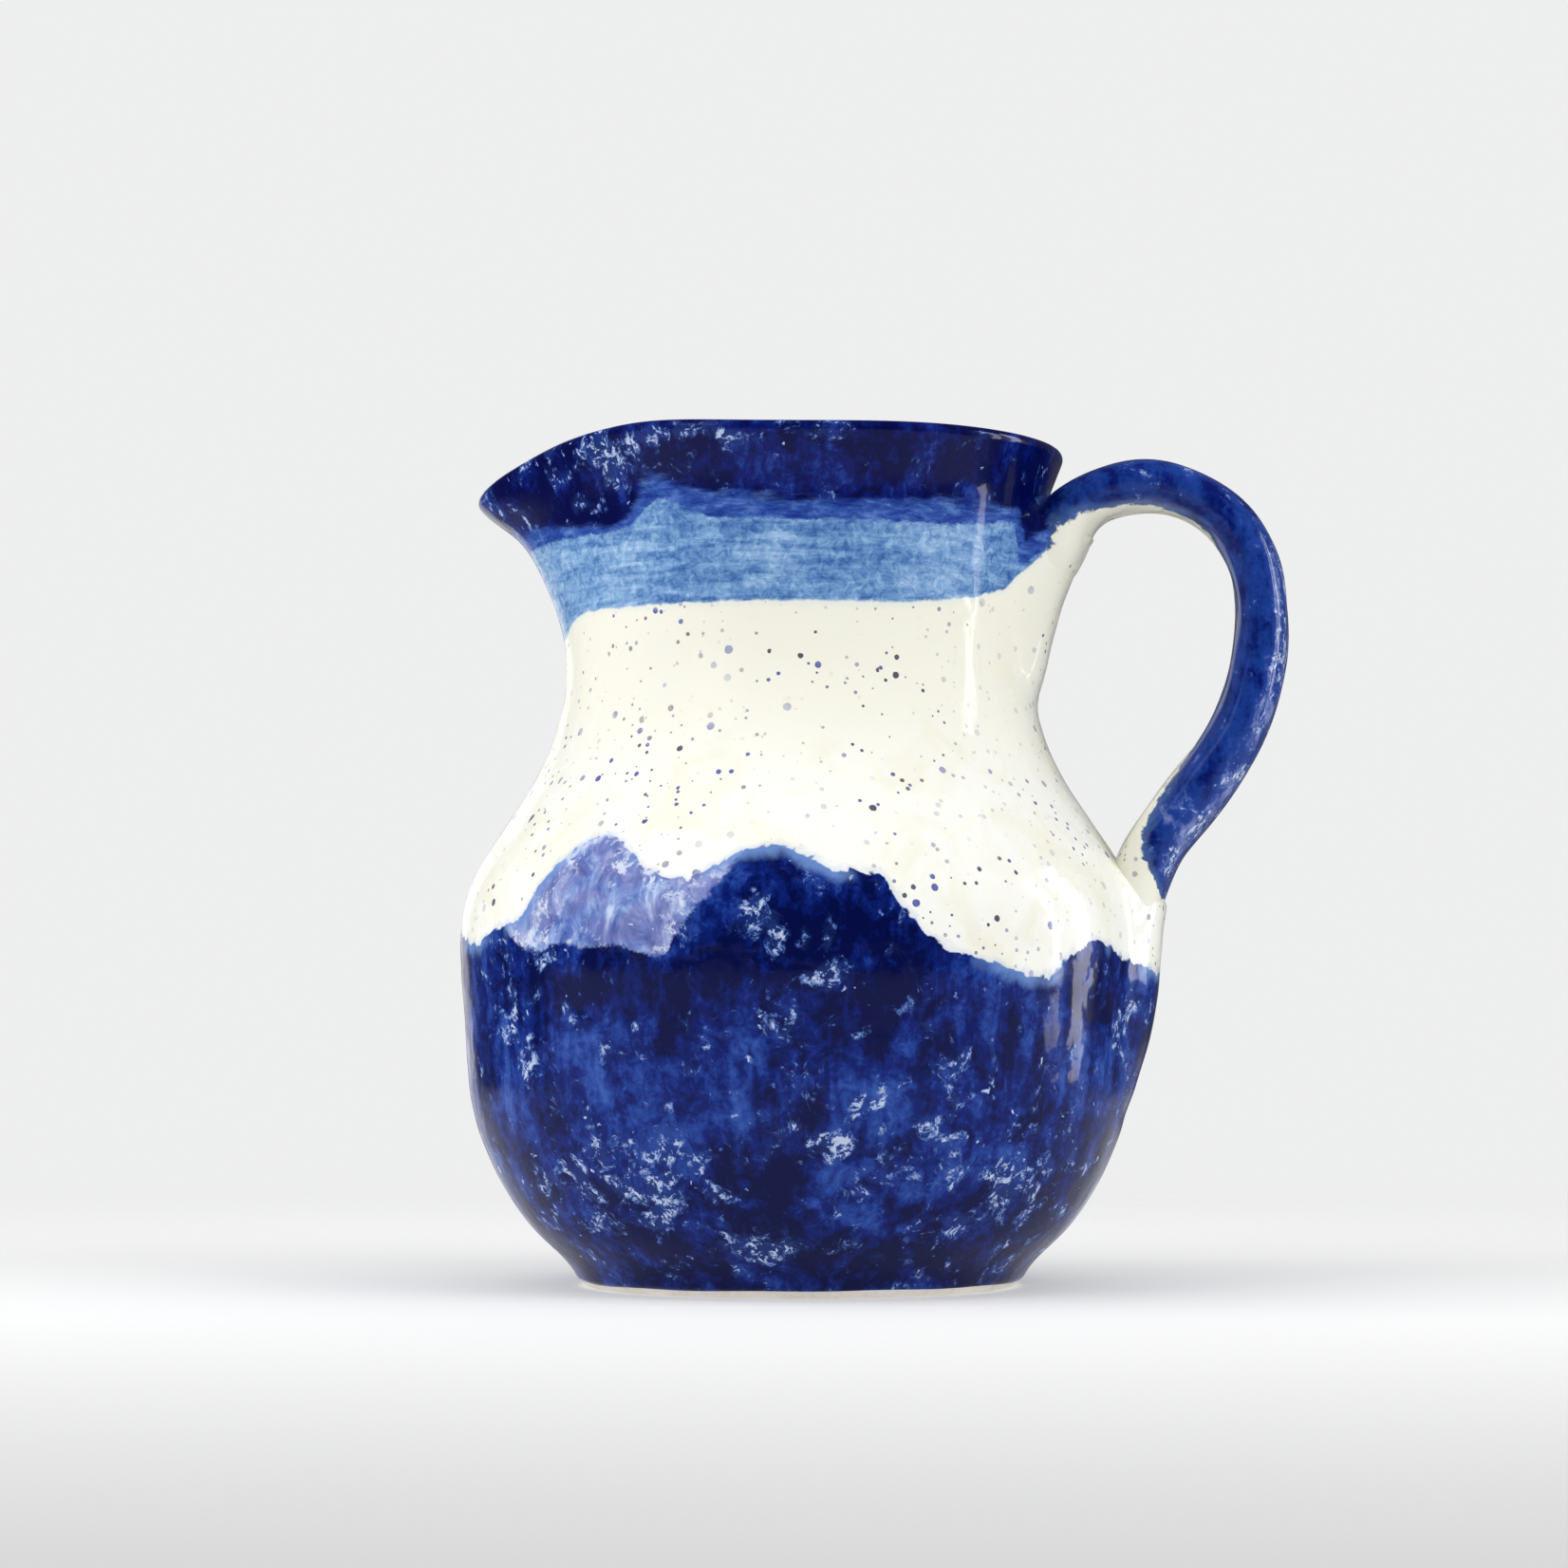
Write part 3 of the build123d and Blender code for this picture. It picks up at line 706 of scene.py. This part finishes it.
def bare_clay(name):
    made = Paint(name)
    grain = made.noise(0.9, 4, 0.7, shift=3)
    level = made.add(made.times(grain, 0.5), made.times(made.noise(7, 3, 0.6), 0.5))
    colour = made.ramp(level, [(0.35, linear(226, 219, 206)), (0.5, linear(240, 235, 225)),
                               (0.66, linear(247, 244, 236))])
    rough = made.step(grain, 0.3, 0.7, 0.65, 0.85)
    return made.finish(colour, rough, made.bump(made.times(grain, 0.15)), 0.0)


# ---- pieces of the pot ------------------------------------------------------------------------
clay = bare_clay("stoneware_clay")
pot_coat("mountain_coat", row_mountain, pot_glaze("mountain_paint", ["mountains"]),
         "mountain_glaze")
pot_coat("cream_coat", row_cream, pot_glaze("cream_paint", ["mountains", "wash"]),
         "cream_glaze")
pot_coat("wash_coat", row_wash, pot_glaze("wash_paint", ["wash", "rim"]),
         "collar_wash")
pot_coat("rim_coat", row_rim, pot_glaze("rim_paint", ["wash", "rim"]), "rim_glaze")
pot_coat("liner_coat", row_liner, pot_glaze("liner_paint", ["rim"]),
         "liner_glaze", pole=True)

# The clay: foot recess, standing ring and bare band, then the wall under the coats.
FOOT = [
    (4.0, RECESS_DEPTH), (20.0, RECESS_DEPTH), (36.0, RECESS_DEPTH),
    (RECESS_RADIUS - 1.4, RECESS_DEPTH),
    (RECESS_RADIUS - 0.4, 2.0), (RECESS_RADIUS, 1.2), (RECESS_RADIUS + 0.4, 0.5),
    (RECESS_RADIUS + 1.2, 0.05), (RECESS_RADIUS + 2.0, 0.0),
    (46.0, 0.0), (46.8, 0.06), (47.4, 0.35), (47.7, 0.8),
]
foot = np.broadcast_to(np.array(FOOT)[:, None, :], (len(FOOT), COLUMNS, 2))
under = np.stack([section(out_round, out_spout, turn, foot_edge) - 0.45, foot_edge - 0.1], -1)[None]
clay_skin = surface[len(ROLL)::2] - normals[len(ROLL)::2] * (COAT + 0.06)
clay_grid = np.concatenate([swept(np.concatenate([foot, under])), clay_skin])
clay_points, clay_faces = capped(clay_grid, (0, 0, RECESS_DEPTH), clay_grid[-1].mean(0))
make_piece("clay_body", clay_points, clay_faces, None, {}, clay, "body")


# ---- strap handle -----------------------------------------------------------------------------


def strap_spine(spacing=1.3):
    """Points, headings and distances along the strap's middle line."""
    x, z, heading = *ROOT_START, math.radians(ROOT_HEADING)
    points, headings = [(x, z)], [heading]
    for size, bend in TURNS:
        length = size if bend is None else size * math.radians(abs(bend))
        count = max(1, round(length / spacing))
        for _ in range(count):
            half_turn = 0.0 if bend is None else math.radians(bend) / count / 2
            heading += half_turn
            x += math.cos(heading) * length / count
            z += math.sin(heading) * length / count
            heading += half_turn
            points.append((x, z))
            headings.append(heading)
    points = np.array(points)
    way = np.concatenate([[0], np.cumsum(np.linalg.norm(np.diff(points, axis=0), axis=1))])
    return points, np.array(headings), way


spine, headings, way = strap_spine()
strap_wide, strap_thick = columns_of(STRAP_SIZE)


def strap_skin(low, high, count, inset, sink):
    """Points over the strap between two section angles given along it, drawn in by the inset.

    Angle 0 is the far side, 90 the back, 180 the near side. The ends stop inside the pot's wall.
    """
    share = np.linspace(0, 1, count)[None, :]
    u = np.radians(low[:, None] + (high - low)[:, None] * share)
    wide = strap_wide(way)[:, None] - inset
    thick = strap_thick(way)[:, None] - inset
    across = wide * np.sign(np.cos(u)) * np.abs(np.cos(u)) ** 0.84
    out = thick * np.sign(np.sin(u)) * np.abs(np.sin(u)) ** 0.84
    flare = 1 + ROOT_FLARE * (1 - smooth(way, 4.0, 24.0))[:, None]
    out = np.where(out < 0, out * flare, out)
    out = out - 0.35 * np.exp(-((across / 5.0) ** 2)) * (np.sin(u) > 0)
    out = out + 0.12 * np.sin(way[:, None] * 0.23) * np.sin(u)
    out = out + 0.1 * np.sin(way[:, None] * 0.31 + across * 0.4)
    x = spine[:, 0, None] - np.sin(headings)[:, None] * out
    z = spine[:, 1, None] + np.cos(headings)[:, None] * out
    r, around_pot = np.hypot(x, across), np.degrees(np.arctan2(across, x))
    wall = section(out_round, out_spout, around_pot, z) - sink
    push = np.where(r < wall, wall / r, 1.0)
    return np.stack([x * push, across * push, z], -1), np.degrees(u)


def border(table, at):
    """A border's angle at given distances along the strap."""
    table = np.array(table, float)
    return np.interp(at, table[:, 0], table[:, 1])


def strap_piece(name, rows, low, high, material, replaces):
    """A coat along the strap between two section angles, over some of its rows."""
    top, u = strap_skin(low, high, STRAP_COLUMNS, 0.0, 1.6)
    bottom, _ = strap_skin(low, high, STRAP_COLUMNS, COAT, 1.9)
    facing = skin_normals(top, False)
    top, bottom, facing, u = (grid[rows] for grid in (top, bottom, facing, u))
    points, faces = shell(top, bottom, False)
    along = np.broadcast_to(way[rows][:, None], u.shape)
    folded = (u + 90) % 360 - 90  # -90 palm, 0 far side, 90 back, 180 near side, 270 palm
    near_edge = 180 + border(NEAR_BORDER, along)
    far_edge = -border(FAR_BORDER, along)
    inside_blue = np.minimum(near_edge - folded, folded - far_edge) / 90 * 11.0
    values = {
        "blue_depth": np.clip(np.where(along > TIP_AT, -8.0, inside_blue), -20, 20),
        "back": np.sin(np.radians(u)) * 5.5,
        "along": along,
    }
    values = {key: np.tile(value.ravel(), 2) for key, value in values.items()}
    both = np.concatenate([facing.reshape(-1, 3), -facing.reshape(-1, 3)])
    make_piece(name, points, faces, both, values, material, replaces)


def strap_glaze(name):
    """Blue over the back and sides, cream on the palm side, pale over the outer edge: pale flecks there
    and, past the crown, a painted highlight.
    """
    made = Paint(name)
    cream = made.cream()
    depth, back, along = made.value("blue_depth"), made.value("back"), made.value("along")
    # From about 52 mm along, the back of the strap is painted lighter: partly pale flecks, partly a
    # painted highlight.
    flecks_and_highlight_run = made.step(along, 52, 70)
    outer = made.times(made.step(back, 1.0, 3.6), made.step(back, 4.6, 5.4, 1.0, 0.55))
    patch = made.times(outer, made.add(made.times(flecks_and_highlight_run, 0.75), 0.2))
    tone = made.add(made.times(made.times(outer, flecks_and_highlight_run), 0.6), -0.1)
    blue = made.cobalt(tone, patch, (4, 20, 98), (22, 54, 134), (140, 152, 206))
    inner = made.add(depth, made.sway(4.4, 3.2, 4, 0.65, 0.4, shift=7))
    fringe = made.step(inner, 3.2, 0.2)
    blue = made.mix(made.times(fringe, 0.45), blue, linear(96, 130, 176))
    colour = made.mix(made.step(inner, -0.35, 0.3), cream, blue)
    return made.finish(colour, made.gloss(), made.glaze_bump(0.8), GLAZE_COAT)


near_edge = 180 + border(NEAR_BORDER, way)
far_edge = -border(FAR_BORDER, way)
blue_rows = way <= TIP_AT + 0.7
near_blue = np.where(blue_rows, near_edge, 90.5)
far_blue = np.where(blue_rows, far_edge, 89.5)
strap_piece("handle_blue_coat", blue_rows, far_blue, near_blue,
            strap_glaze("handle_blue_paint"), "handle_blue_glaze")
strap_piece("handle_cream_coat", way >= 0, near_blue, far_blue + 360,
            strap_glaze("handle_cream_paint"), "handle_cream_glaze")

core_round = np.full(len(way), 360 * (CORE_COLUMNS - 1) / CORE_COLUMNS)
core, _ = strap_skin(np.zeros(len(way)), core_round, CORE_COLUMNS, COAT + 0.06, 2.2)
core_points, core_faces = capped(core, core[0].mean(0), core[-1].mean(0))
make_piece("handle_clay", core_points, core_faces, None, {}, clay, "handle")


def joint_clay(name, heights, half_turn, replaces):
    """Clay worked over a joint: the lens between the thrown wall and the coat over it."""
    turns = np.linspace(-half_turn, half_turn, JOINT_ROWS)[None, :]
    z = np.linspace(*heights, JOINT_ROWS)[:, None]
    skin = section(out_round, out_spout, turns, z)
    wall = skin + 0 * z * turns - COAT - 0.2
    lift = joint_bumps(turns, z, skin)
    t = np.radians(turns)
    grids = [np.stack([r * np.cos(t), r * np.sin(t), z + 0 * t], -1) for r in (wall + lift + 0.1, wall)]
    points, faces = shell(*grids, False)
    make_piece(name, points, faces, None, {}, clay, replaces)


joint_clay("upper_joint_clay", (121.0, 171.0), 20.0, "upper_joint")
joint_clay("lower_joint_clay", (28.0, 93.0), 14.0, "lower_joint")

# ---- stage ------------------------------------------------------------------------------------
scene = bpy.context.scene
scene.view_settings.view_transform = "Standard"

FLOOR_RINGS, FLOOR_SIDES = (0.2, 0.4, 0.7, 1.0, 1.4), 64
floor_points, floor_faces = [(0.0, 0.0, 0.0)], []
for k, r in enumerate(FLOOR_RINGS):
    first = 1 + k * FLOOR_SIDES
    for j in range(FLOOR_SIDES):
        t = 2 * math.pi * j / FLOOR_SIDES
        floor_points.append((r * math.cos(t), r * math.sin(t), 0.0))
        a, b = first + j, first + (j + 1) % FLOOR_SIDES
        floor_faces.append((a - FLOOR_SIDES, a, b, b - FLOOR_SIDES) if k else (0, a, b))
floor_mesh = bpy.data.meshes.new("floor")
floor_mesh.from_pydata(floor_points, [], floor_faces)
floor = bpy.data.objects.new("floor", floor_mesh)
scene.collection.objects.link(floor)
floor.location.z = -0.0001

# The table fades into the backdrop, sooner at the back; towards the front it falls into a soft grey, a
# painted shade.
FRONT = (0.139, -0.990, 0)
table = Paint("pale_table")
away = table.node("ShaderNodeVectorMath", "LENGTH", {0: table.place}, "Value")
forward = table.node("ShaderNodeVectorMath", "DOT_PRODUCT", {0: table.place, 1: FRONT}, "Value")
back_fade = table.times(table.step(away, 160, 620), table.step(forward, 120, -50))
fade = table.math("MAXIMUM", back_fade, table.step(away, 480, 950))
shade = {"Value": forward, "From Min": 100, "From Max": 460, "To Min": 0.64, "To Max": 0.34}
# The table's glow is painted light that lifts the shadows on it.
glowing_matt = table.node("ShaderNodeBsdfPrincipled", inputs={
    "Base Color": table.node("ShaderNodeMapRange", inputs=shade), "Roughness": 1.0,
    "Specular IOR Level": 0.0, "Emission Color": (1, 1, 1, 1), "Emission Strength": 0.32})
clear = table.node("ShaderNodeBsdfTransparent")
blend = table.node("ShaderNodeMixShader", inputs={0: fade, 1: glowing_matt, 2: clear})
floor_mesh.materials.append(table.show(blend))

world = bpy.data.worlds.new("studio")
scene.world = world
world.use_nodes = True
tree = world.node_tree
tree.nodes.clear()
rays = tree.nodes.new("ShaderNodeLightPath")
seen = tree.nodes.new("ShaderNodeBackground")
seen.inputs["Color"].default_value = (0.855, 0.858, 0.862, 1)
ambient = tree.nodes.new("ShaderNodeBackground")
ambient.inputs["Color"].default_value = (0.95, 0.97, 1.0, 1)
ambient.inputs["Strength"].default_value = 0.12
pick = tree.nodes.new("ShaderNodeMixShader")
tree.links.new(rays.outputs["Is Camera Ray"], pick.inputs[0])
tree.links.new(ambient.outputs[0], pick.inputs[1])
tree.links.new(seen.outputs[0], pick.inputs[2])
tree.links.new(pick.outputs[0], tree.nodes.new("ShaderNodeOutputWorld").inputs[0])


def softbox(name, azimuth, elevation, distance, wide, tall, power, mirrored=False):
    """A rectangular soft light aimed at the pot; azimuth 0 is the front, to the right is more.

    The broad ones only light the pot; the narrow windows are the ones its gloss mirrors.
    """
    a, e = math.radians(azimuth), math.radians(elevation)
    back = Vector((math.sin(a) * math.cos(e), -math.cos(a) * math.cos(e), math.sin(e)))
    data = bpy.data.lights.new(name, "AREA")
    data.shape, data.size, data.size_y, data.energy = "RECTANGLE", wide, tall, power
    lamp = bpy.data.objects.new(name, data)
    scene.collection.objects.link(lamp)
    lamp.location = Vector((0, 0, 0.09)) + back * distance
    lamp.rotation_mode = "QUATERNION"
    lamp.rotation_quaternion = back.to_track_quat("Z", "Y")
    lamp.visible_camera = False
    lamp.visible_glossy, lamp.visible_diffuse = mirrored, not mirrored


softbox("left_light", -60, 18, 1.3, 1.5, 1.9, 17.6)
softbox("right_light", 68, 18, 1.3, 0.9, 1.8, 12.4)
softbox("top_light", 5, 82, 1.2, 2.0, 2.0, 13.6)
softbox("window_left", 100, 12, 1.5, 0.16, 1.1, 6.0, mirrored=True)
softbox("window_right", 114, 12, 1.5, 0.22, 1.1, 8.0, mirrored=True)
softbox("window_behind", -150, 10, 1.6, 0.5, 1.3, 2.2, mirrored=True)
softbox("window_front", -38, 30, 1.6, 0.5, 0.8, 2.0, mirrored=True)

# ---- camera -----------------------------------------------------------------------------------
CAMERA_AZIMUTH, CAMERA_AWAY, CAMERA_HEIGHT = 8.0, 0.880, 0.057
CAMERA_PITCH, CAMERA_YAW, LENS = 3.46, 0.23, 91.3
camera_data = bpy.data.cameras.new("camera")
camera_data.sensor_width, camera_data.lens = 36.0, LENS
camera_data.clip_start, camera_data.clip_end = 0.05, 20
camera = bpy.data.objects.new("camera", camera_data)
scene.collection.objects.link(camera)
side = math.radians(CAMERA_AZIMUTH)
camera.location = (CAMERA_AWAY * math.sin(side), -CAMERA_AWAY * math.cos(side), CAMERA_HEIGHT)
yaw, pitch = math.radians(CAMERA_AZIMUTH + CAMERA_YAW), math.radians(90 + CAMERA_PITCH)
camera.rotation_euler = (pitch, 0, yaw)
scene.camera = camera
